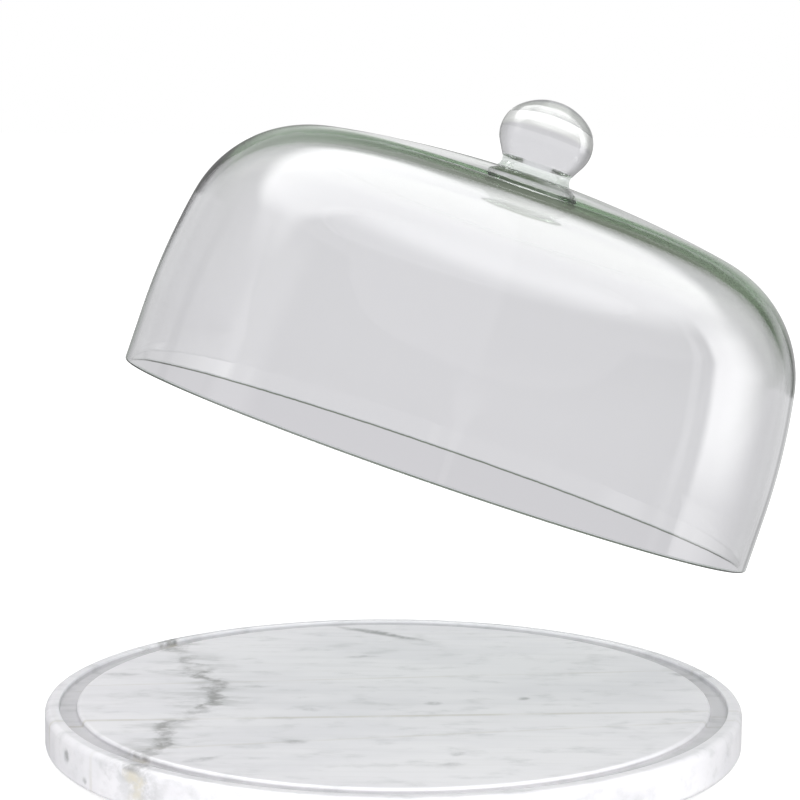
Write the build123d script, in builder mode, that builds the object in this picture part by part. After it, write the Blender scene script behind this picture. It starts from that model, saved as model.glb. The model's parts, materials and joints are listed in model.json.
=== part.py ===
from build123d import *
from math import cos, radians
import os

os.makedirs("parts", exist_ok=True)

# Round marble board. Its radius sets the size of the whole set.
BOARD_RADIUS = 152.4
BOARD_THICKNESS = 18.0
BOARD_TOP_ROUND = 3.0
BOARD_BOTTOM_ROUND = 2.5

# Ring groove near the board's edge, which the dome's rim stands in
GROOVE_INNER_RADIUS = 138.6
GROOVE_OUTER_RADIUS = 146.2
GROOVE_DEPTH = 2.6
GROOVE_CORNER = 0.7
PLATE_BULLNOSE = 1.6
GROOVE_OUTER_ROUND = 0.5

# Soft bumpers stuck under the board
BUMPER_RADIUS = 6.0
BUMPER_HEIGHT = 2.5
BUMPER_ROUND = 1.2
BUMPER_COUNT = 4
BUMPER_RING_RADIUS = 112.0

# Glass dome. Its outline is a plain skirt, then three arcs, each tangent to the next.
RIM_RADIUS = 142.2
SKIRT_HEIGHT = 24.0
FLANK_RADIUS = 295.0
FLANK_TURN = 10.7
SHOULDER_RADIUS = 55.0
SHOULDER_TURN = 68.4
SKIRT_GLASS = 2.8
CROWN_GLASS = 5.0

# Glass knob, a flattened ball on a short neck that flares where it meets the crown
KNOB_RADIUS = 20.8
KNOB_WIDEST_ABOVE_CROWN = 17.7
KNOB_BELLY_RADIUS = 14.5
KNOB_BROW = 48.5
KNOB_UNDERCUT = 30.0
KNOB_FLANK_LENGTH = 5.5
KNOB_NECK_CURVE = 4.0
KNOB_FLARE_RADIUS = 4.2
KNOB_FLARE_TURN = 78.0

# The dome is modelled lifted: swung up about a level line beside the board. Swung back
# down by the same angle it is level, centred in the groove, and a hair above its floor.
LIFT_ANGLE = 19.4
LIFT_REACH = 318.0
LIFT_AZIMUTH = 16.6
SEAT_GAP = 0.2

board_top = BUMPER_HEIGHT + BOARD_THICKNESS
seat_height = board_top - GROOVE_DEPTH + SEAT_GAP

lift_line = Location((0, 0, seat_height), (0, 0, LIFT_AZIMUTH)) * Location((LIFT_REACH, 0, 0))
lifted = lift_line * Location((0, 0, 0), (0, LIFT_ANGLE, 0)) * Location((-LIFT_REACH, 0, 0))

# The dome's half section: its own X runs out from the dome's axis, its own Y up along it
dome_section = Plane(lifted * Plane.XZ.location)
dome_axis = Axis(dome_section.origin, dome_section.y_dir)


def dome_outline(inset, drop):
    """Draw the dome's closed half outline, moved in by inset and down by drop, and give its top point."""
    skirt = Line((RIM_RADIUS - inset, 0), (RIM_RADIUS - inset, SKIRT_HEIGHT - drop))
    flank = JernArc(skirt @ 1, skirt % 1, FLANK_RADIUS - inset, FLANK_TURN)
    shoulder = JernArc(flank @ 1, flank % 1, SHOULDER_RADIUS - inset, SHOULDER_TURN)
    crown_turn = 90 - FLANK_TURN - SHOULDER_TURN
    crown_radius = (shoulder @ 1).X / cos(radians(90 - crown_turn))
    crown = JernArc(shoulder @ 1, shoulder % 1, crown_radius, crown_turn)
    Polyline(crown @ 1, (0, 0), skirt @ 0)
    return crown @ 1


def knob_outline(crown_height):
    """Draw the knob's closed half outline, with its root carried on down into the crown."""
    belly_centre = (KNOB_RADIUS - KNOB_BELLY_RADIUS, crown_height + KNOB_WIDEST_ABOVE_CROWN)
    belly = CenterArc(belly_centre, KNOB_BELLY_RADIUS, -KNOB_UNDERCUT, KNOB_UNDERCUT + KNOB_BROW)
    cap_radius = (belly @ 1).X / cos(radians(KNOB_BROW))
    cap = JernArc(belly @ 1, belly % 1, cap_radius, 90 - KNOB_BROW)
    flank = PolarLine(belly @ 0, KNOB_FLANK_LENGTH, direction=belly % 0 * -1)
    neck = JernArc(flank @ 1, flank % 1, KNOB_NECK_CURVE, KNOB_UNDERCUT)
    flare = JernArc(neck @ 1, neck % 1, KNOB_FLARE_RADIUS, KNOB_FLARE_TURN)
    root_height = crown_height - CROWN_GLASS
    Polyline(flare @ 1, ((flare @ 1).X, root_height), (0, root_height), cap @ 1)


# Marble board: a slab with rounded edges and the ring groove cut in its top
with BuildPart() as marble_board:
    with BuildSketch(Plane.XY.offset(BUMPER_HEIGHT)):
        Circle(BOARD_RADIUS)
    extrude(amount=BOARD_THICKNESS)
    fillet(marble_board.edges().group_by(Axis.Z)[0], BOARD_BOTTOM_ROUND)
    fillet(marble_board.edges().group_by(Axis.Z)[-1], BOARD_TOP_ROUND)
    with BuildSketch(Plane.XY.offset(board_top)):
        Circle(GROOVE_OUTER_RADIUS)
        Circle(GROOVE_INNER_RADIUS, mode=Mode.SUBTRACT)
    extrude(amount=-GROOVE_DEPTH, mode=Mode.SUBTRACT)
    groove_floor = marble_board.faces().filter_by(Plane.XY).group_by(Axis.Z)[1]
    fillet(groove_floor.edges(), GROOVE_CORNER)
    plate_face = marble_board.faces().filter_by(Plane.XY).group_by(Axis.Z)[-1].sort_by(SortBy.AREA)[-1]
    fillet(plate_face.edges(), PLATE_BULLNOSE)
    lip_face = marble_board.faces().filter_by(Plane.XY).group_by(Axis.Z)[-1].sort_by(SortBy.AREA)[0]
    fillet(lip_face.edges().sort_by(SortBy.RADIUS)[0], GROOVE_OUTER_ROUND)
marble_board.part.label = "marble_board"

# Bumpers: four short soft buttons with rounded lower edges
with BuildPart() as bumper_feet:
    with BuildSketch():
        with PolarLocations(BUMPER_RING_RADIUS, BUMPER_COUNT, start_angle=180 / BUMPER_COUNT):
            Circle(BUMPER_RADIUS)
    extrude(amount=BUMPER_HEIGHT)
    fillet(bumper_feet.edges().group_by(Axis.Z)[0], BUMPER_ROUND)
bumper_feet.part.label = "bumper_feet"

# Glass dome: an open shell, thicker at the crown, with a rounded rim
with BuildPart() as glass_dome:
    with BuildSketch(dome_section) as shell_section:
        with BuildLine():
            crown_top = dome_outline(0, 0)
        make_face()
        with BuildLine():
            dome_outline(SKIRT_GLASS, CROWN_GLASS - SKIRT_GLASS)
        make_face(mode=Mode.SUBTRACT)
        fillet(shell_section.vertices().group_by(Axis.Y)[0], SKIRT_GLASS / 2 - 0.05)
    revolve(axis=dome_axis)
glass_dome.part.label = "glass_dome"

# Glass knob: fused on the crown, so its foot takes the crown's own curve
with BuildPart() as glass_knob:
    with BuildSketch(dome_section):
        with BuildLine():
            knob_outline(crown_top.Y)
        make_face()
        with BuildLine():
            dome_outline(0, 0)
        make_face(mode=Mode.SUBTRACT)
    revolve(axis=dome_axis)
glass_knob.part.label = "glass_knob"

for piece in (marble_board, bumper_feet, glass_dome, glass_knob):
    export_step(piece.part, f"parts/{piece.part.label}.step")
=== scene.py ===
import json
from math import asin, atan2, cos, degrees, pi, radians, sin

import bpy
from mathutils import Matrix, Vector


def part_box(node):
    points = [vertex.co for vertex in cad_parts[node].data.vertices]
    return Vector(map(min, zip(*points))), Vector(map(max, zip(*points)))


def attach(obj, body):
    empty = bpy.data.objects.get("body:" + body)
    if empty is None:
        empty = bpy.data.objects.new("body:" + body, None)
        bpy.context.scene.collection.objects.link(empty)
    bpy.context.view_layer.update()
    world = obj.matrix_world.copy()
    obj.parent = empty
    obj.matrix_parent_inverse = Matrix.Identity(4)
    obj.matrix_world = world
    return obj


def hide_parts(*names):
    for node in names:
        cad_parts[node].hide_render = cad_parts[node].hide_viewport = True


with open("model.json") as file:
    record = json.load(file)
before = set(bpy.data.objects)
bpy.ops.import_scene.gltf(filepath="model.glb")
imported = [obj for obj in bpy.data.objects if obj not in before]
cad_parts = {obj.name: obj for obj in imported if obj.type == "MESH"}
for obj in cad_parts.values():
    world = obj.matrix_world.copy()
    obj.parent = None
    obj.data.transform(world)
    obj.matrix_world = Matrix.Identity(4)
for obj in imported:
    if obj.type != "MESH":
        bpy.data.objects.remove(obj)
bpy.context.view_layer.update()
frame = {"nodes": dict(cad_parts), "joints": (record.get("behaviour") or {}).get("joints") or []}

MM = 0.001

# Marble board
BOARD_RADIUS = 152.4 * MM
BOARD_TOP_ROUND = 3.0 * MM
BOARD_BOTTOM_ROUND = 2.5 * MM
GROOVE_INNER_RADIUS = 138.6 * MM
GROOVE_OUTER_RADIUS = 146.2 * MM
GROOVE_DEPTH = 2.6 * MM
GROOVE_CORNER = 0.7 * MM
GROOVE_OUTER_ROUND = 0.5 * MM
PLATE_BULLNOSE = 1.6 * MM

# Glass dome: a skirt, then three arcs, each tangent to the last
RIM_RADIUS = 142.2 * MM
RIM_ROUND = 1.35 * MM
SKIRT_HEIGHT = 24.0 * MM
FLANK_RADIUS = 295.0 * MM
FLANK_TURN = 10.7
SHOULDER_RADIUS = 55.0 * MM
SHOULDER_TURN = 68.4
CROWN_TURN = 90 - FLANK_TURN - SHOULDER_TURN
SKIRT_GLASS = 2.8 * MM
CROWN_GLASS = 5.0 * MM

# Glass knob: a flattened ball on a short neck that flares onto the crown
KNOB_RADIUS = 20.8 * MM
KNOB_WIDEST_ABOVE_CROWN = 17.7 * MM
KNOB_BELLY_RADIUS = 14.5 * MM
KNOB_BROW = 48.5
KNOB_UNDERCUT = 30.0
KNOB_FLANK_LENGTH = 5.5 * MM
KNOB_NECK_CURVE = 4.0 * MM
KNOB_FLARE_RADIUS = 4.2 * MM
KNOB_FLARE_TURN = 78.0

# Fineness of the turned meshes. Rings that agree on a grid of this many steps to a metre are one ring.
AROUND = 360
RING_GRID = 1e7
ARC_STEP_DEGREES = 4.0
ARC_STEP_LENGTH = 2.5 * MM
RUN_STEP_LENGTH = 6.0 * MM

board_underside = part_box("marble_board")[0].z
board_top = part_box("marble_board")[1].z

# The dome is level and centred in the groove at the hinge's lower limit, and is stored swung up from there
hinge = frame["joints"][0]
hinge_point = Vector(hinge["pos_m"])
swing = Matrix.Rotation(radians(-hinge["range_deg"][0]), 4, Vector(hinge["axis"]))
seated = Matrix.Translation((0, 0, hinge_point.z))
lifted = Matrix.Translation(hinge_point) @ swing @ Matrix.Translation(-hinge_point) @ seated


# ------------------------------------------------------------------ turned shapes

class Outline:
    """A half section, walked with the piece's material on the left. Heading 0 leads away from the axis
    and heading 90 leads up. Each stretch keeps the surface's normal at both its ends."""

    def __init__(self, radius, height, heading):
        self.points = [(radius, height)]
        self.normals = []
        self.heading = heading

    def normal(self):
        return sin(radians(self.heading)), -cos(radians(self.heading))

    def run(self, length):
        parts = max(1, round(length / RUN_STEP_LENGTH))
        for _ in range(parts):
            radius, height = self.points[-1]
            radius += cos(radians(self.heading)) * length / parts
            height += sin(radians(self.heading)) * length / parts
            self.points.append((radius, height))
            self.normals.append((self.normal(), self.normal()))
        return self

    def arc(self, arc_radius, turn):
        """Turns left by a positive angle, or right by a negative one."""
        length = radians(abs(turn)) * arc_radius
        parts = max(2, round(abs(turn) / ARC_STEP_DEGREES), round(length / ARC_STEP_LENGTH))
        bulge = arc_radius if turn > 0 else -arc_radius
        out, up = self.normal()
        centre_radius = self.points[-1][0] - bulge * out
        centre_height = self.points[-1][1] - bulge * up
        for _ in range(parts):
            before = self.normal()
            self.heading += turn / parts
            out, up = self.normal()
            self.points.append((centre_radius + bulge * out, centre_height + bulge * up))
            self.normals.append((before, self.normal()))
        return self

    def walked_back(self):
        """The same line walked the other way, so its material is on the other side."""
        back = Outline(*self.points[-1], 0)
        back.points = self.points[::-1]
        back.normals = [((-b[0], -b[1]), (-a[0], -a[1])) for a, b in self.normals[::-1]]
        return back


def turned(name, outlines, place):
    """Turns outlines about Z into one closed mesh, and moves it to its place. The faces of an outline take
    the material of its number in the list. Outlines that share an end point share its ring of vertices."""
    vertices, rings, faces, corner_normals, face_outlines = [], {}, [], [], []
    around = [(cos(2 * pi * k / AROUND), sin(2 * pi * k / AROUND)) for k in range(AROUND)]

    def ring(radius, height):
        key = (round(radius * RING_GRID), round(height * RING_GRID))
        if key not in rings:
            first = len(vertices)
            on_axis = radius < 1 / RING_GRID
            vertices.extend((radius * c, radius * s, height) for c, s in (around[:1] if on_axis else around))
            rings[key] = [first if on_axis else first + k for k in range(AROUND)]
        return rings[key]

    for number, outline in enumerate(outlines):
        for i, (normal_low, normal_high) in enumerate(outline.normals):
            low = ring(*outline.points[i])
            high = ring(*outline.points[i + 1])
            for k in range(AROUND):
                n = (k + 1) % AROUND
                corners = [(low[k], k, normal_low), (low[n], n, normal_low)]
                corners += [(high[n], n, normal_high), (high[k], k, normal_high)]
                if low[k] == low[n]:
                    corners.pop(1)
                if high[k] == high[n]:
                    corners.pop()
                faces.append([corner[0] for corner in corners])
                face_outlines.append(number)
                for _, step, (out, up) in corners:
                    corner_normals.append((out * around[step][0], out * around[step][1], up))
    mesh = bpy.data.meshes.new(name)
    mesh.from_pydata(vertices, [], faces)
    mesh.polygons.foreach_set("use_smooth", [True] * len(faces))
    mesh.polygons.foreach_set("material_index", face_outlines)
    mesh.transform(place)
    facing = place.to_3x3()
    mesh.normals_split_custom_set([facing @ Vector(normal) for normal in corner_normals])
    piece = bpy.data.objects.new(name, mesh)
    bpy.context.scene.collection.objects.link(piece)
    return piece


def board_outline():
    lip = BOARD_RADIUS - BOARD_TOP_ROUND - GROOVE_OUTER_RADIUS - GROOVE_OUTER_ROUND
    side_height = board_top - board_underside - BOARD_BOTTOM_ROUND - BOARD_TOP_ROUND
    walk = Outline(0, board_underside, 0)
    walk.run(BOARD_RADIUS - BOARD_BOTTOM_ROUND).arc(BOARD_BOTTOM_ROUND, 90)
    walk.run(side_height).arc(BOARD_TOP_ROUND, 90)
    walk.run(lip).arc(GROOVE_OUTER_ROUND, 90)
    walk.run(GROOVE_DEPTH - GROOVE_OUTER_ROUND - GROOVE_CORNER).arc(GROOVE_CORNER, -90)
    walk.run(GROOVE_OUTER_RADIUS - GROOVE_INNER_RADIUS - 2 * GROOVE_CORNER).arc(GROOVE_CORNER, -90)
    walk.run(GROOVE_DEPTH - GROOVE_CORNER - PLATE_BULLNOSE).arc(PLATE_BULLNOSE, 90)
    walk.run(GROOVE_INNER_RADIUS - PLATE_BULLNOSE)
    return walk


def rim_half(side):
    """The rounded rim's outer half (1) or inner half (-1), from its middle to the foot of the wall."""
    walk = Outline(RIM_RADIUS - SKIRT_GLASS / 2, 0, 0 if side > 0 else 180)
    return walk.run(SKIRT_GLASS / 2 - RIM_ROUND).arc(RIM_ROUND, 90 * side)


def dome_wall(inset, drop, side):
    """The dome's outer side (1) or inner side (-1), from the rim's round up to the crown's edge."""
    walk = Outline(*rim_half(side).points[-1], 90)
    walk.run(SKIRT_HEIGHT - drop - RIM_ROUND)
    walk.arc(FLANK_RADIUS - inset, FLANK_TURN)
    walk.arc(SHOULDER_RADIUS - inset, SHOULDER_TURN)
    return walk


def knob_parts(crown_height):
    """The knob's neck, from the end of its flare at the crown up to the ball, and the ball above it."""
    lean = radians(KNOB_UNDERCUT)
    belly_out = KNOB_RADIUS - KNOB_BELLY_RADIUS + KNOB_BELLY_RADIUS * cos(lean)
    belly_foot = crown_height + KNOB_WIDEST_ABOVE_CROWN - KNOB_BELLY_RADIUS * sin(lean)
    flank_out = belly_out - KNOB_FLANK_LENGTH * sin(lean)
    flank_foot = belly_foot - KNOB_FLANK_LENGTH * cos(lean)
    down = Outline(flank_out, flank_foot, 270 - KNOB_UNDERCUT)
    down.arc(KNOB_NECK_CURVE, KNOB_UNDERCUT).arc(KNOB_FLARE_RADIUS, KNOB_FLARE_TURN)
    ball = Outline(flank_out, flank_foot, 90 - KNOB_UNDERCUT)
    ball.run(KNOB_FLANK_LENGTH).arc(KNOB_BELLY_RADIUS, KNOB_UNDERCUT + KNOB_BROW)
    ball.arc(ball.points[-1][0] / cos(radians(KNOB_BROW)), 90 - KNOB_BROW)
    ball.points[-1] = (0, ball.points[-1][1])
    return down.walked_back(), ball


def glass_outlines():
    """Outlines of the dome and of the knob. The knob is fused on, so both have a disc where they meet."""
    outside = dome_wall(0, 0, 1)
    inside = dome_wall(SKIRT_GLASS, CROWN_GLASS - SKIRT_GLASS, -1)
    crown = outside.points[-1][0] / sin(radians(CROWN_TURN))
    crown_height = outside.points[-1][1] + crown * (1 - cos(radians(CROWN_TURN)))
    neck, ball = knob_parts(crown_height)
    foot = neck.points[0][0]
    foot_turn = degrees(asin(foot / crown))
    outside.arc(crown, CROWN_TURN - foot_turn)
    neck.points[0] = outside.points[-1]
    under_knob = Outline(*outside.points[-1], outside.heading).arc(crown, foot_turn)
    under_knob.points[-1] = (0, crown_height)
    inside.arc(inside.points[-1][0] / sin(radians(CROWN_TURN)), CROWN_TURN)
    inside.points[-1] = (0, inside.points[-1][1])
    dome = [outside, inside.walked_back(), rim_half(1), rim_half(-1).walked_back(), under_knob]
    return dome, [ball, neck, under_knob.walked_back()]


# ------------------------------------------------------------------ node trees

class Graph:
    """Short calls that add nodes to a tree. An input takes a plain value or another node's output."""

    def __init__(self, tree):
        self.tree = tree
        tree.nodes.clear()

    def feed(self, socket, value):
        if isinstance(value, bpy.types.NodeSocket):
            self.tree.links.new(value, socket)
        else:
            socket.default_value = value

    def add(self, kind, inputs=None, **settings):
        node = self.tree.nodes.new("ShaderNode" + kind)
        for key, value in settings.items():
            setattr(node, key, value)
        for key, value in (inputs or {}).items():
            self.feed(node.inputs[key], value)
        return node

    def maths(self, operation, *values):
        node = self.add("Math", operation=operation)
        for socket, value in zip(node.inputs, values):
            self.feed(socket, value)
        return node.outputs[0]

    def product(self, first, *others):
        for other in others:
            first = self.maths("MULTIPLY", first, other)
        return first

    def ramp(self, value, band, at_low=0.0, at_high=1.0):
        """A smooth step from at_low to at_high as value goes from the band's low end to its high end."""
        node = self.add("MapRange", {"Value": value, "From Min": band[0], "From Max": band[1],
                                     "To Min": at_low, "To Max": at_high}, interpolation_type="SMOOTHSTEP")
        return node.outputs[0]

    def patch(self, value, centre, half, soft):
        """1 within half of the centre, falling smoothly to 0 over soft."""
        away = self.maths("ABSOLUTE", self.maths("SUBTRACT", value, centre))
        return self.ramp(away, (half, half + soft), 1.0, 0.0)

    def angle_ramp(self, angle, band, at_low=0.0, at_high=1.0):
        """A ramp over a band of angles, which is given in degrees."""
        return self.ramp(angle, [radians(part) for part in band], at_low, at_high)

    def angle_patch(self, angle, place):
        """A patch whose centre, half width and soft edge are given in degrees."""
        return self.patch(angle, *[radians(part) for part in place])

    def dot(self, vector, constant):
        node = self.add("VectorMath", operation="DOT_PRODUCT")
        self.feed(node.inputs[0], vector)
        self.feed(node.inputs[1], constant)
        return node.outputs["Value"]

    def to_camera(self, vector):
        """A world direction's parts to the camera's right, up and ahead."""
        turn = self.add("VectorTransform", {"Vector": vector}, vector_type="VECTOR",
                        convert_from="WORLD", convert_to="CAMERA").outputs[0]
        return self.add("SeparateXYZ", {"Vector": turn}).outputs

    def vector(self, operation, first, second):
        """An operation on two vectors, or SCALE on a vector and a factor."""
        node = self.add("VectorMath", operation=operation)
        self.feed(node.inputs[0], first)
        self.feed(node.inputs[3 if operation == "SCALE" else 1], second)
        return node.outputs[0]

    def length(self, vector):
        return self.add("VectorMath", {0: vector}, operation="LENGTH").outputs["Value"]

    def course(self, value, knots):
        """A smooth line through the knots, which are pairs of value and result between 0 and 1."""
        node = self.add("FloatCurve", {"Value": value})
        line = node.mapping.curves[0]
        while len(line.points) < len(knots):
            line.points.new(0.5, 0.5)
        for point, knot in zip(line.points, knots):
            point.location = knot
        node.mapping.update()
        return node.outputs[0]

    def noise(self, vector, waves, detail, roughness):
        """Noise as a value and as a colour, with the same number of waves to a unit of length every way."""
        return self.add("TexNoise", {"Vector": vector, "Scale": waves, "Detail": detail,
                                     "Roughness": roughness}).outputs

    def drawn_noise(self, vector, waves, detail, roughness, turn=0.0):
        """Noise with its own number of waves to a unit of length along X, Y and Z, turned about Z."""
        laid = self.add("Mapping", {"Vector": vector, "Scale": waves, "Rotation": (0, 0, turn)}).outputs[0]
        return self.noise(laid, 1.0, detail, roughness)[0]

    def bump(self, height, strength, depth, under=None):
        """A normal that follows a height over the normal under it."""
        node = self.add("Bump", {"Height": height, "Strength": strength, "Distance": depth})
        if under is not None:
            self.feed(node.inputs["Normal"], under)
        return node.outputs[0]

    def blend(self, share, first, second, kind="MIX"):
        node = self.add("Mix", data_type="RGBA", blend_type=kind)
        for index, value in ((0, share), (6, first), (7, second)):
            self.feed(node.inputs[index], value)
        return node.outputs[2]

    def blend_shader(self, share, first, second):
        node = self.add("MixShader")
        for index, value in enumerate((share, first, second)):
            self.feed(node.inputs[index], value)
        return node.outputs[0]

    def background(self, colour, strength):
        return self.add("Background", {"Color": colour, "Strength": strength}).outputs[0]

    def finish(self, kind, **inputs):
        self.add("Output" + kind, inputs)


def material(name):
    made = bpy.data.materials.new(name)
    made.use_nodes = True
    return made


def grey(level, warmth=0.0):
    """A near-grey colour: warmth above 0 leans to yellow and below 0 to blue."""
    return (level * (1 + warmth), level, level * (1 - warmth), 1)


# ------------------------------------------------------------------ materials

WHITE = (1, 1, 1, 1)

GLASS_INDEX = 1.52
GLASS_TINT = (0.60, 0.74, 0.58, 1)
GLASS_SHADOW = (0.93, 0.95, 0.94, 1)
DOME_TINT_DENSITY = 10.0
KNOB_TINT_DENSITY = 2.0
# Painted shade: the rim's glass is dimmed a little so that its rounded edges read as grey lines
RIM_PAINTED_SHADE = (0.93, 0.94, 0.94, 1)
NECK_STRAIGHT = 0.68

# Each noise below is its waves to a unit of length, its detail and its roughness, and its turn if it has one
RIPPLE = ((22, 22, 9), 1.5, 0.4)
RIPPLE_DEPTH = 0.12 * MM
FINE_RIPPLE = ((132, 132, 54), 2.0, 0.5)
FINE_RIPPLE_DEPTH = 0.01 * MM


def glass_material(name, density, tone=WHITE, straight=0.0):
    """Clear blown glass: green in its depth, with a slight ripple. A straight share above 0 lets that much
    of the light through unbent, which keeps tight curves from going dark."""
    made = material(name)
    g = Graph(made.node_tree)
    path = g.add("LightPath").outputs
    passes = g.maths("MAXIMUM", path["Is Shadow Ray"], path["Is Diffuse Ray"])
    spot = g.add("TexCoord").outputs["Object"]
    ripple = g.bump(g.drawn_noise(spot, *RIPPLE), 1.0, RIPPLE_DEPTH)
    ripple = g.bump(g.drawn_noise(spot, *FINE_RIPPLE), 1.0, FINE_RIPPLE_DEPTH, ripple)
    # A glass colour below white is painted shade, which dims the glass; it is used on the rim
    solid = g.add("BsdfGlass", {"Color": tone, "Roughness": 0.0, "IOR": GLASS_INDEX, "Normal": ripple})
    empty = g.add("BsdfTransparent", {"Color": GLASS_SHADOW})
    surface = g.blend_shader(g.maths("MAXIMUM", passes, straight), solid.outputs[0], empty.outputs[0])
    depth = g.add("VolumeAbsorption", {"Color": GLASS_TINT, "Density": density})
    g.finish("Material", Surface=surface, Volume=depth.outputs[0])
    return made


def fused_material():
    """The disc where knob and dome are one glass: light goes straight through it."""
    made = material("clear_glass_fused")
    g = Graph(made.node_tree)
    g.finish("Material", Surface=g.add("BsdfTransparent").outputs[0])
    return made


# The marble is laid out in millimetres, with X to the right and Y away from the camera. A band is where a
# noise or a distance makes a thing fade in or out, and its least is what is left of it at its faintest.
MARBLE_WHITE = (0.945, 0.935, 0.965, 1)
MARBLE_SHADE = (0.872, 0.865, 0.90, 1)
CLOUDS = ((0.012, 0.03, 0.03), 4.0, 0.55)
CLOUDS_BAND = (0.35, 0.65)
LAYERS = ((0.012, 0.2, 0.2), 4.0, 0.6, radians(-5))
LAYERS_BAND = (0.46, 0.7)
LAYERS_STRENGTH = 0.15
LAYERS_GREY = grey(0.60, -0.008)
MOTTLE = ((0.05, 0.09, 0.09), 5.0, 0.6)
MOTTLE_BAND = (0.5, 0.74)
MOTTLE_STRENGTH = 0.45
MOTTLE_GREY = grey(0.58, -0.02)

# The stone's features are broken up into patches and crumpled, by up to half of these lengths
CRUMPLE = (0.055, 5.0, 0.62)
VEIN_CRUMPLE = (34, 22, 22)
FLECK_CRUMPLE = 9.0
PATCHES = (0.16, 4.0, 0.65)

# Flecks: centre, size, turn in degrees and strength. Those 90 deep go right through the board.
FLECKS = (((-6, 118, 20), (66, 9, 90), -33, 0.9), ((-15, 72, 20), (20, 6, 90), 0, 0.45),
          ((17, -12, 20), (9, 7, 90), 20, 0.5), ((26, -90, 20), (8, 8, 90), 0, 0.45),
          ((24, -106, 20), (16, 7, 90), 15, 0.4), ((-41, -74, 20), (13, 8, 90), 0, 0.45),
          ((-36, -23, 20), (14, 8, 90), -20, 0.35), ((57, -4, 20), (7, 6, 90), 30, 0.6),
          ((131, 41, 20), (13, 7, 90), 0, 0.6), ((-76, -101, 20), (22, 7, 90), 35, 0.45),
          ((-124, 35, 20), (26, 7, 90), 0, 0.4), ((-62, 15, 20), (12, 5, 90), 0, 0.35),
          ((-135, -71, 13), (5, 9, 8), 0, 0.9), ((-126, -86, 7), (4, 5, 4), 0, 0.7))
FLECK_BAND = (0.2, 1.1)
FLECK_PATCHES_BAND = (0.3, 0.55)
FLECK_PATCHES_LEAST = 0.35
FLECK_GREY = grey(0.33, -0.02)

# The main vein's course, as pairs of Y and X: a dark core in a soft halo of streaks. Both come and go along
# it, and down the board's side the core turns from grey to beige.
MAIN_VEIN = ((-150, -104), (-101, -102), (-75, -95), (-53, -98), (-35, -87), (-5, -81), (20, -80), (40, -90),
             (70, -96), (97, -107), (150, -118))
VEIN_REACH = 160.0
VEIN_PRESENCE = ((0.03, 0.045, 0.045), 2.0, 0.5)
VEIN_PRESENCE_BAND = (0.36, 0.58)
VEIN_PRESENCE_LEAST = 0.3
HALO_BAND = (2.0, 24.0)
HALO_STREAKS = ((0.04, 0.16, 0.16), 4.0, 0.62)
HALO_STREAKS_BAND = (0.42, 0.6)
HALO_STRENGTH = 0.65
HALO_GREY = grey(0.52, -0.012)
CORE_BAND = (0.3, 6.5)
CORE_PATCHES_BAND = (0.3, 0.6)
CORE_PATCHES_LEAST = 0.2
CORE_STRENGTH = 0.9
CORE_GREY = grey(0.30)
CORE_BEIGE = (0.74, 0.70, 0.60, 1)
CORE_BEIGE_BAND = (17.0, 19.5)

# Straight seams: Y where the seam crosses X = 0, rise of Y to X, half width and strength. A seam's band is
# in its own half widths.
SEAMS = ((-33.5, 0.08, 1.2, 0.5), (32.0, 0.13, 0.9, 0.25), (-66.0, 0.2, 0.9, 0.25))
SEAM_BAND = (0.4, 1.8)
SEAM_WEAR = ((0.04, 0.04, 0.04), 3.0, 0.6)
SEAM_WEAR_BAND = (0.35, 0.62)
SEAM_WEAR_LEAST = 0.25
SEAM_BEIGE = (0.60, 0.575, 0.50, 1)

# The groove is a rougher cut than the polished faces, and painted shade darkens its colour as if shaded in
# the recess. Both are full at the first drop below the board's top, and gone at the second.
GROOVE_TONED_HALF = 3.6
GROOVE_TONED_SOFT = 0.6
GROOVE_TONED_DROPS = (1.6, 0.6)
GROOVE_PAINTED_SHADE = grey(0.67)
GROOVE_ROUGHNESS = 0.7
POLISHED_ROUGHNESS = 0.36
STONE_INDEX = 1.5
PITS = (0.7, 4.0, 0.6)
PITS_STRENGTH = 0.25
PITS_DEPTH = 0.05 * MM


def marble_ground(g, spot):
    """White stone with broad clouds, thin layers and a light mottle."""
    clouds = g.ramp(g.drawn_noise(spot, *CLOUDS), CLOUDS_BAND)
    layers = g.ramp(g.drawn_noise(spot, *LAYERS), LAYERS_BAND, 0.0, LAYERS_STRENGTH)
    mottle = g.ramp(g.drawn_noise(spot, *MOTTLE), MOTTLE_BAND, 0.0, MOTTLE_STRENGTH)
    stone = g.blend(clouds, MARBLE_SHADE, MARBLE_WHITE)
    return g.blend(mottle, g.blend(layers, stone, LAYERS_GREY), MOTTLE_GREY)


def marble_flecks(g, stone, spot, crumple, patches):
    """Soft grey flecks, each an ellipsoid in the stone with a patchy edge."""
    bent = g.vector("ADD", spot, g.vector("SCALE", crumple, FLECK_CRUMPLE))
    flecks = 0.0
    for centre, size, turn, strength in FLECKS:
        placed = g.add("Mapping", {"Vector": bent, "Location": centre, "Rotation": (0, 0, radians(turn)),
                                   "Scale": tuple(part / 2 for part in size)}, vector_type="TEXTURE")
        away = g.length(placed.outputs[0])
        flecks = g.maths("MAXIMUM", flecks, g.ramp(away, FLECK_BAND, strength, 0.0))
    flecks = g.product(flecks, g.ramp(patches, FLECK_PATCHES_BAND, FLECK_PATCHES_LEAST, 1.0))
    return g.blend(flecks, stone, FLECK_GREY)


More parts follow.
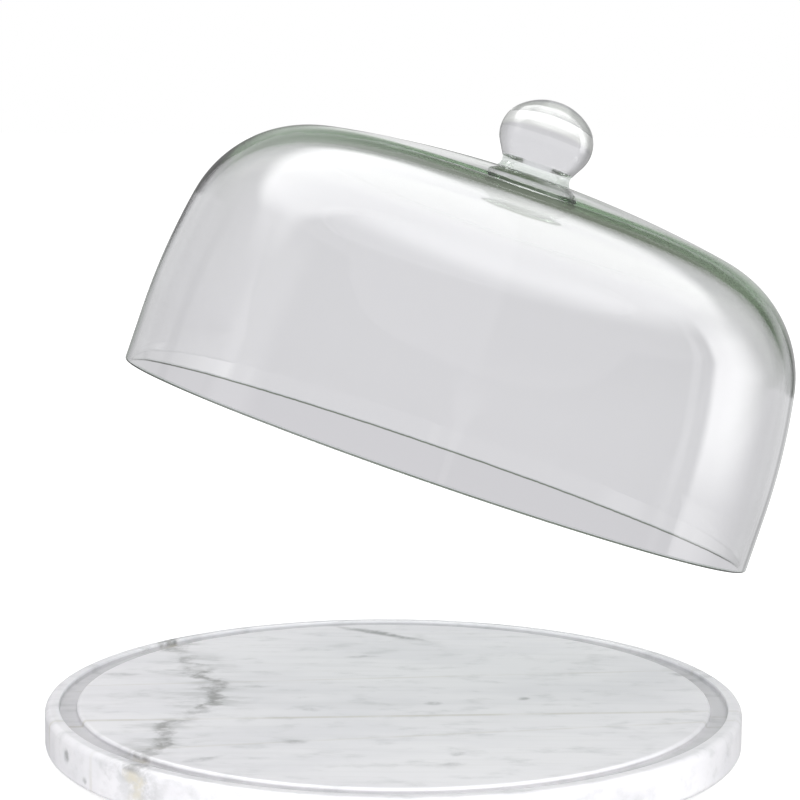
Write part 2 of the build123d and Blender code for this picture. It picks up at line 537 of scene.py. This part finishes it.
def marble_vein(g, stone, spot, crumple, patches):
    """The ragged main vein."""
    bent = g.vector("ADD", spot, g.vector("MULTIPLY", crumple, VEIN_CRUMPLE))
    x, y, _ = g.add("SeparateXYZ", {"Vector": bent}).outputs
    span = 2 * VEIN_REACH
    knots = [((knot_y + VEIN_REACH) / span, (knot_x + VEIN_REACH) / span) for knot_y, knot_x in MAIN_VEIN]
    along = g.maths("DIVIDE", g.maths("ADD", y, VEIN_REACH), span)
    middle = g.maths("SUBTRACT", g.product(g.course(along, knots), span), VEIN_REACH)
    off = g.maths("ABSOLUTE", g.maths("SUBTRACT", x, middle))

    presence = g.ramp(g.drawn_noise(spot, *VEIN_PRESENCE), VEIN_PRESENCE_BAND, VEIN_PRESENCE_LEAST, 1.0)
    streaks = g.ramp(g.drawn_noise(spot, *HALO_STREAKS), HALO_STREAKS_BAND)
    halo = g.product(g.ramp(off, HALO_BAND, 1.0, 0.0), streaks, presence, HALO_STRENGTH)
    core = g.product(g.ramp(off, CORE_BAND, 1.0, 0.0), presence,
                     g.ramp(patches, CORE_PATCHES_BAND, CORE_PATCHES_LEAST, 1.0), CORE_STRENGTH)
    on_side = g.ramp(g.add("SeparateXYZ", {"Vector": spot}).outputs[2], CORE_BEIGE_BAND, 1.0, 0.0)
    return g.blend(core, g.blend(halo, stone, HALO_GREY), g.blend(on_side, CORE_GREY, CORE_BEIGE))


def marble_seams(g, stone, spot):
    """Thin straight seams, worn away in places."""
    x, y, _ = g.add("SeparateXYZ", {"Vector": spot}).outputs
    worn = g.ramp(g.drawn_noise(spot, *SEAM_WEAR), SEAM_WEAR_BAND, SEAM_WEAR_LEAST, 1.0)
    for crossing, rise, half, strength in SEAMS:
        line = g.maths("ADD", g.maths("MULTIPLY", x, rise), crossing)
        gap = g.maths("ABSOLUTE", g.maths("SUBTRACT", y, line))
        seam = g.ramp(gap, [half * part for part in SEAM_BAND], strength, 0.0)
        stone = g.blend(g.product(seam, worn), stone, SEAM_BEIGE)
    return stone


def in_groove(g, spot):
    """1 in the board's groove, and 0 elsewhere."""
    out = g.length(g.vector("MULTIPLY", spot, (1, 1, 0)))
    height = g.add("SeparateXYZ", {"Vector": spot}).outputs[2]
    middle = (GROOVE_INNER_RADIUS + GROOVE_OUTER_RADIUS) / 2 / MM
    depth_band = [board_top / MM - drop for drop in GROOVE_TONED_DROPS]
    return g.product(g.patch(out, middle, GROOVE_TONED_HALF, GROOVE_TONED_SOFT),
                     g.ramp(height, depth_band, 1.0, 0.0))


def marble_material():
    """White marble with a ragged grey vein, straight beige seams, thin layers and a few soft grey flecks."""
    made = material("white_marble_veined")
    g = Graph(made.node_tree)
    spot = g.vector("SCALE", g.add("TexCoord").outputs["Object"], 1 / MM)
    crumple = g.vector("SUBTRACT", g.noise(spot, *CRUMPLE)["Color"], (0.5, 0.5, 0.5))
    patches = g.noise(spot, *PATCHES)[0]
    stone = marble_ground(g, spot)
    stone = marble_flecks(g, stone, spot, crumple, patches)
    stone = marble_vein(g, stone, spot, crumple, patches)
    stone = marble_seams(g, stone, spot)
    groove = in_groove(g, spot)
    rougher = g.product(groove, GROOVE_ROUGHNESS - POLISHED_ROUGHNESS)
    pits = g.bump(g.noise(spot, *PITS)[0], PITS_STRENGTH, PITS_DEPTH)
    # Painted shade: the stone's colour is darkened in the groove, standing in for the shade in the recess
    gloss = g.add("BsdfPrincipled", {"Base Color": g.blend(groove, stone, GROOVE_PAINTED_SHADE, "MULTIPLY"),
                                     "Roughness": g.maths("ADD", rougher, POLISHED_ROUGHNESS),
                                     "IOR": STONE_INDEX, "Normal": pits})
    g.finish("Material", Surface=gloss.outputs[0])
    return made


SILICONE_LIGHT = (0.9, 0.92, 0.92, 1)
SILICONE_SHADE = (0.78, 0.81, 0.82, 1)
SILICONE_CLOUDS = (400.0, 3.0, 0.5)
SILICONE_CLOUDS_BAND = (0.3, 0.7)
SILICONE_STRENGTH = 0.3
SILICONE_DEPTH = 0.05 * MM
SILICONE_ROUGHNESS = 0.42
SILICONE_INDEX = 1.41
SILICONE_CLEARNESS = 0.6


def silicone_material():
    """Soft clear bumpers: cloudy, with a waxy surface."""
    made = material("clear_silicone_soft")
    g = Graph(made.node_tree)
    clouds = g.noise(g.add("TexCoord").outputs["Object"], *SILICONE_CLOUDS)[0]
    colour = g.blend(g.ramp(clouds, SILICONE_CLOUDS_BAND), SILICONE_SHADE, SILICONE_LIGHT)
    soft = g.add("BsdfPrincipled", {"Base Color": colour, "Roughness": SILICONE_ROUGHNESS,
                                    "IOR": SILICONE_INDEX, "Transmission Weight": SILICONE_CLEARNESS,
                                    "Normal": g.bump(clouds, SILICONE_STRENGTH, SILICONE_DEPTH)})
    g.finish("Material", Surface=soft.outputs[0])
    return made


# ------------------------------------------------------------------ pieces

dome_outlines, knob_outlines = glass_outlines()
board = turned("turned_marble_board", [board_outline()], Matrix())
dome = turned("blown_glass_dome", dome_outlines, lifted)
knob = turned("solid_glass_knob", knob_outlines, lifted)
for piece, body, node, slot in ((board, "board", "marble_board", "white_marble"),
                                (dome, "dome", "glass_dome", "clear_glass"),
                                (knob, "dome", "glass_knob", "clear_glass")):
    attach(piece, body)
    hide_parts(node)

fused = fused_material()
dome_glass = glass_material("clear_glass_dome", DOME_TINT_DENSITY)
rim_glass = glass_material("clear_glass_rim", DOME_TINT_DENSITY, RIM_PAINTED_SHADE)
for made in (dome_glass, dome_glass, rim_glass, rim_glass, fused):
    dome.data.materials.append(made)
knob_glass = glass_material("clear_glass_knob", KNOB_TINT_DENSITY)
neck_glass = glass_material("clear_glass_neck", KNOB_TINT_DENSITY, straight=NECK_STRAIGHT)
for made in (knob_glass, neck_glass, fused):
    knob.data.materials.append(made)
board.data.materials.append(marble_material())
frame["nodes"]["bumper_feet"].material_slots[0].material = silicone_material()


# ------------------------------------------------------------------ studio

BACKDROP_LIGHT = 1.0
ROOM_LIGHT = 0.56
FLOOR_SIZE = 8.0
FLOOR_SPECKLE = (60.0, 3.0, 0.5)
FLOOR_SHADE = 0.89
FLOOR_LIGHT = 0.91
FLOOR_GLOW = 0.66

# Light that comes through glass sees a grey wall straight ahead, a white table below and a dark ceiling
# above. Places are in degrees: climb is up from the camera's axis, and swerve is to its right. A band is
# where a thing fades in or out, and a patch is its centre, its half width and its soft edge.
WALL = (0.765, 0.755, 0.79, 1)
TABLE = (0.95, 0.95, 0.95, 1)
TABLE_CLIMB_PATCH = (-21, 15, 5)
CEILING = (0.12, 0.15, 0.105, 1)
CEILING_CLIMB_BAND = (15, 23)
CEILING_SWERVE_BAND = (-22, 2)
CEILING_SHARE_LEFT = 0.55
UPPER_CEILING = (0.21, 0.235, 0.19, 1)
UPPER_CEILING_CLIMB_BAND = (26, 34)
ASTERN_BAND = (0.1, 0.5)
LEFT_LEVEL = 0.5
LEFT_SWERVE_BAND = (-60, -30)
RIGHT_LEVEL = 0.75
RIGHT_SWERVE_BAND = (30, 60)

# A ray that has passed one wall of glass has been bent twice, and through two walls four times. The view
# through two walls dims beside the camera's axis, and the view through one wall dims level with it.
BENDS_BEYOND_ONE_WALL = 2.5
ONE_WALL_LEVEL = 0.87
ONE_WALL_CLIMB_PATCH = (-3, 4, 3)
EDGE_LEVEL = 0.7
EDGE_SWERVE_BAND = (8, 24)

# Mirrored light sees a grey room with a softbox overhead, strips on the right, a card on the left and dark
# stands. Places are in degrees: bearing is to the right of straight ahead, and height is above the horizon.
# Lean is the angle up from straight ahead as seen from the side, and steepness is the angle up from the
# nearer side as seen from the front.
ROOM_BEARING_BAND = (60, 120)
WALL_REFLECTED = 0.56
ROOM_REFLECTED = 0.55
GLOOM = 0.75
GLOOM_HEIGHT_BAND = (9, 20)
GLOOM_BEARING_BAND = (-45, 0)
BACKDROP_REFLECTED = 0.5
BACKDROP_STEEPNESS_BAND = (48, 70)
BACKDROP_HEIGHT_BAND = (6, 14)
STANDS = 0.3
STAND_BEARING_PATCHES = ((-60, 1, 4), (-11, 10, 9), (26, 1, 4))
STAND_HEIGHT_BAND = (2, 12)
SOFTBOX = 4.0
SOFTBOX_HEIGHT_BAND = (26, 46)
SOFTBOX_LEAN_BAND = (52, 66)
SOFTBOX_REACH = 20
SOFTBOX_REACH_BEARING_PATCH = (-60, 28, 20)
STRIP = 4.6
STRIP_NEAR_BAND = (56, 82)
STRIP_FAR_BAND = (88, 93)
STRIP_FOOT_BAND = (-10, 8)
STRIP_HEAD_BAND = (24, 42)
THIN_STRIP = 0.8
THIN_STRIP_BEARING_PATCH = (99.5, 1, 2)
CARD = 0.8
CARD_BEARING_PATCH = (-98, 4, 10)
CARD_HEIGHT_PATCH = (4, 8, 10)

# The studio leans with the lifted dome
dome_up = lifted.to_3x3() @ Vector((0, 0, 1))
studio_tilt = atan2(dome_up.x, dome_up.z)
studio_up = (sin(studio_tilt), 0, cos(studio_tilt))
studio_right = (cos(studio_tilt), 0, -sin(studio_tilt))
studio_ahead = (0, 1, 0)


def colour_through_glass(g, way, path):
    """Colour and strength of what a ray sees after glass bent it to go this way. Only light that has turned
    back inside the glass, or has passed two walls of it, sees the dark ceiling."""
    two_walls = g.maths("GREATER_THAN", path["Transmission Depth"], BENDS_BEYOND_ONE_WALL)
    turned_back = g.maths("GREATER_THAN", path["Glossy Depth"], 0.5)
    seen = g.to_camera(way)
    upright = g.to_camera(studio_up)
    tilt = g.maths("ARCTAN2", upright[0], upright[1])
    sine = g.maths("SINE", tilt)
    cosine = g.maths("COSINE", tilt)
    rise = g.maths("ADD", g.product(seen[0], sine), g.product(seen[1], cosine))
    across = g.maths("SUBTRACT", g.product(seen[0], cosine), g.product(seen[1], sine))
    climb = g.maths("ARCTAN2", rise, seen[2])
    swerve = g.maths("ARCTAN2", across, seen[2])

    astern = g.ramp(seen[2], ASTERN_BAND, 1.0, 0.0)
    ceiling = g.product(g.maths("MAXIMUM", g.angle_ramp(climb, CEILING_CLIMB_BAND), astern),
                        g.angle_ramp(swerve, CEILING_SWERVE_BAND, CEILING_SHARE_LEFT, 1.0),
                        g.maths("MAXIMUM", turned_back, two_walls))
    ceiling_colour = g.blend(g.angle_ramp(climb, UPPER_CEILING_CLIMB_BAND), CEILING, UPPER_CEILING)
    colour = g.blend(g.angle_patch(climb, TABLE_CLIMB_PATCH), g.blend(ceiling, WALL, ceiling_colour), TABLE)

    left = g.angle_ramp(swerve, LEFT_SWERVE_BAND, LEFT_LEVEL, 1.0)
    right = g.angle_ramp(swerve, RIGHT_SWERVE_BAND, 1.0, RIGHT_LEVEL)
    edge = g.product(two_walls, g.angle_ramp(g.maths("ABSOLUTE", swerve), EDGE_SWERVE_BAND))
    one_wall = g.product(g.maths("SUBTRACT", 1.0, two_walls), g.angle_patch(climb, ONE_WALL_CLIMB_PATCH))
    strength = g.product(left, right, g.ramp(edge, (0, 1), 1.0, EDGE_LEVEL),
                         g.ramp(one_wall, (0, 1), 1.0, ONE_WALL_LEVEL))
    return colour, strength


def level_in_mirror(g, way):
    """Brightness of what a reflection sees when it goes this way, in the studio's leaning frame."""
    up = g.dot(way, studio_up)
    right = g.dot(way, studio_right)
    ahead = g.dot(way, studio_ahead)
    height = g.maths("ARCSINE", up)
    bearing = g.maths("ARCTAN2", right, ahead)
    lean = g.maths("ARCTAN2", up, ahead)
    steepness = g.maths("ARCTAN2", up, g.maths("ABSOLUTE", right))

    room = g.angle_ramp(g.maths("ABSOLUTE", bearing), ROOM_BEARING_BAND, WALL_REFLECTED, ROOM_REFLECTED)
    gloom = g.product(g.angle_ramp(height, GLOOM_HEIGHT_BAND),
                      g.angle_ramp(bearing, GLOOM_BEARING_BAND), GLOOM)
    room = g.product(room, g.maths("SUBTRACT", 1.0, gloom))

    # Faces that look up reflect a little of the white backdrop at their edge
    backdrop = g.product(g.angle_ramp(steepness, BACKDROP_STEEPNESS_BAND),
                         g.angle_ramp(height, BACKDROP_HEIGHT_BAND, 1.0, 0.0), BACKDROP_REFLECTED)
    stands = 0.0
    for place in STAND_BEARING_PATCHES:
        stands = g.maths("ADD", stands, g.angle_patch(bearing, place))
    stands = g.product(stands, g.angle_ramp(height, STAND_HEIGHT_BAND, 1.0, 0.0), STANDS)
    room = g.maths("SUBTRACT", g.maths("ADD", room, backdrop), stands)

    # The softbox reaches further down and forward on the left
    reach = g.product(g.angle_patch(bearing, SOFTBOX_REACH_BEARING_PATCH), radians(SOFTBOX_REACH))
    above = g.product(g.angle_ramp(g.maths("ADD", height, reach), SOFTBOX_HEIGHT_BAND),
                      g.angle_ramp(g.maths("ADD", lean, reach), SOFTBOX_LEAN_BAND), SOFTBOX)
    strip_height = g.product(g.angle_ramp(height, STRIP_FOOT_BAND),
                             g.angle_ramp(height, STRIP_HEAD_BAND, 1.0, 0.0))
    strip = g.product(g.angle_ramp(bearing, STRIP_NEAR_BAND),
                      g.angle_ramp(bearing, STRIP_FAR_BAND, 1.0, 0.0), strip_height, STRIP)
    thin_strip = g.product(g.angle_patch(bearing, THIN_STRIP_BEARING_PATCH), strip_height, THIN_STRIP)
    card = g.product(g.angle_patch(bearing, CARD_BEARING_PATCH),
                     g.angle_patch(height, CARD_HEIGHT_PATCH), CARD)
    for light in (strip, thin_strip, card, above):
        room = g.maths("ADD", room, light)
    return room


def studio_world():
    """White to the camera, with one room for light that comes through glass and one for reflections."""
    world = bpy.data.worlds.new("studio")
    world.use_nodes = True
    bpy.context.scene.world = world
    g = Graph(world.node_tree)
    path = g.add("LightPath").outputs
    way = g.add("TexCoord").outputs["Generated"]
    room = g.background(WHITE, ROOM_LIGHT)
    mirror = g.background(WHITE, level_in_mirror(g, way))
    through = g.background(*colour_through_glass(g, way, path))
    backdrop = g.background(WHITE, BACKDROP_LIGHT)
    # A ray refracted by clear glass counts as glossy too, so it is told apart after the mirrored ones
    seen = g.blend_shader(path["Is Glossy Ray"], room, mirror)
    seen = g.blend_shader(path["Is Transmission Ray"], seen, through)
    seen = g.blend_shader(path["Is Camera Ray"], seen, backdrop)
    g.finish("World", Surface=seen)


def studio_floor():
    """A plain pale floor that glows a little, so that it is as white as the backdrop but takes shadows."""
    mesh = bpy.data.meshes.new("floor")
    corners = [(x * FLOOR_SIZE, y * FLOOR_SIZE, 0) for x, y in ((-1, -1), (1, -1), (1, 1), (-1, 1))]
    mesh.from_pydata(corners, [], [(0, 1, 2, 3)])
    floor = bpy.data.objects.new("floor", mesh)
    bpy.context.scene.collection.objects.link(floor)
    floor.visible_transmission = False
    floor.visible_glossy = False
    made = material("pale_floor")
    g = Graph(made.node_tree)
    speckle = g.noise(g.add("TexCoord").outputs["Object"], *FLOOR_SPECKLE)[0]
    lit = g.add("BsdfDiffuse", {"Color": g.blend(speckle, grey(FLOOR_SHADE), grey(FLOOR_LIGHT))}).outputs[0]
    glow = g.add("Emission", {"Color": WHITE, "Strength": FLOOR_GLOW}).outputs[0]
    glowing = g.add("AddShader", {0: lit, 1: glow}).outputs[0]
    is_camera = g.add("LightPath").outputs["Is Camera Ray"]
    g.finish("Material", Surface=g.blend_shader(is_camera, lit, glowing))
    mesh.materials.append(made)


# Name, place, point aimed at, width, height and power
SOFTBOXES = (("key", (0.4, -1.85, 1.5), (0, 0, 0.05), 1.6, 1.0, 22),
             ("low front", (-0.35, -1.9, 0.35), (0, 0, 0.02), 1.4, 0.5, 9),
             ("top", (-0.2, 0.3, 1.9), (0, 0, 0.05), 1.2, 1.2, 5))


def softbox(name, place, aim, width, height, power):
    """A soft lamp that lights the board, and that the glass doesn't show."""
    light = bpy.data.lights.new(name, "AREA")
    light.shape = "RECTANGLE"
    light.size = width
    light.size_y = height
    light.energy = power
    lamp = bpy.data.objects.new(name, light)
    lamp.location = place
    lamp.rotation_mode = "QUATERNION"
    lamp.rotation_quaternion = (Vector(aim) - Vector(place)).to_track_quat("-Z", "Y")
    lamp.visible_camera = False
    lamp.visible_transmission = False
    lamp.visible_glossy = False
    bpy.context.scene.collection.objects.link(lamp)


# ------------------------------------------------------------------ camera

# The camera's distance in metres from the centre of the board's top, and its elevation as seen from there.
# It looks down by the dip, and all its angles are in degrees.
CAMERA_DISTANCE = 1.09935
CAMERA_ELEVATION = 14.794
CAMERA_DIP = 7.977
CAMERA_YAW = 0.1007
CAMERA_ROLL = 0.397
LENS = 111.4
SENSOR_WIDTH = 36


def studio_camera():
    lens = bpy.data.cameras.new("camera")
    lens.lens = LENS
    lens.sensor_width = SENSOR_WIDTH
    camera = bpy.data.objects.new("camera", lens)
    elevation, dip = radians(CAMERA_ELEVATION), radians(CAMERA_DIP)
    yaw, roll = radians(CAMERA_YAW), radians(CAMERA_ROLL)
    ahead = Vector((sin(yaw) * cos(dip), cos(yaw) * cos(dip), -sin(dip)))
    level = ahead.cross(Vector((0, 0, 1))).normalized()
    upright = level.cross(ahead)
    right = cos(roll) * level + sin(roll) * upright
    up = cos(roll) * upright - sin(roll) * level
    turn = Matrix((right, up, -ahead)).transposed().to_4x4()
    spot = (0, -CAMERA_DISTANCE * cos(elevation), board_top + CAMERA_DISTANCE * sin(elevation))
    camera.matrix_world = Matrix.Translation(spot) @ turn
    bpy.context.scene.collection.objects.link(camera)
    bpy.context.scene.camera = camera


studio_world()
studio_floor()
for lamp_values in SOFTBOXES:
    softbox(*lamp_values)
studio_camera()

# Glass needs many bounces before its light is found
scene = bpy.context.scene
scene.view_settings.view_transform = "Standard"
scene.cycles.max_bounces = 80
scene.cycles.glossy_bounces = 64
scene.cycles.transmission_bounces = 40
scene.cycles.transparent_max_bounces = 24
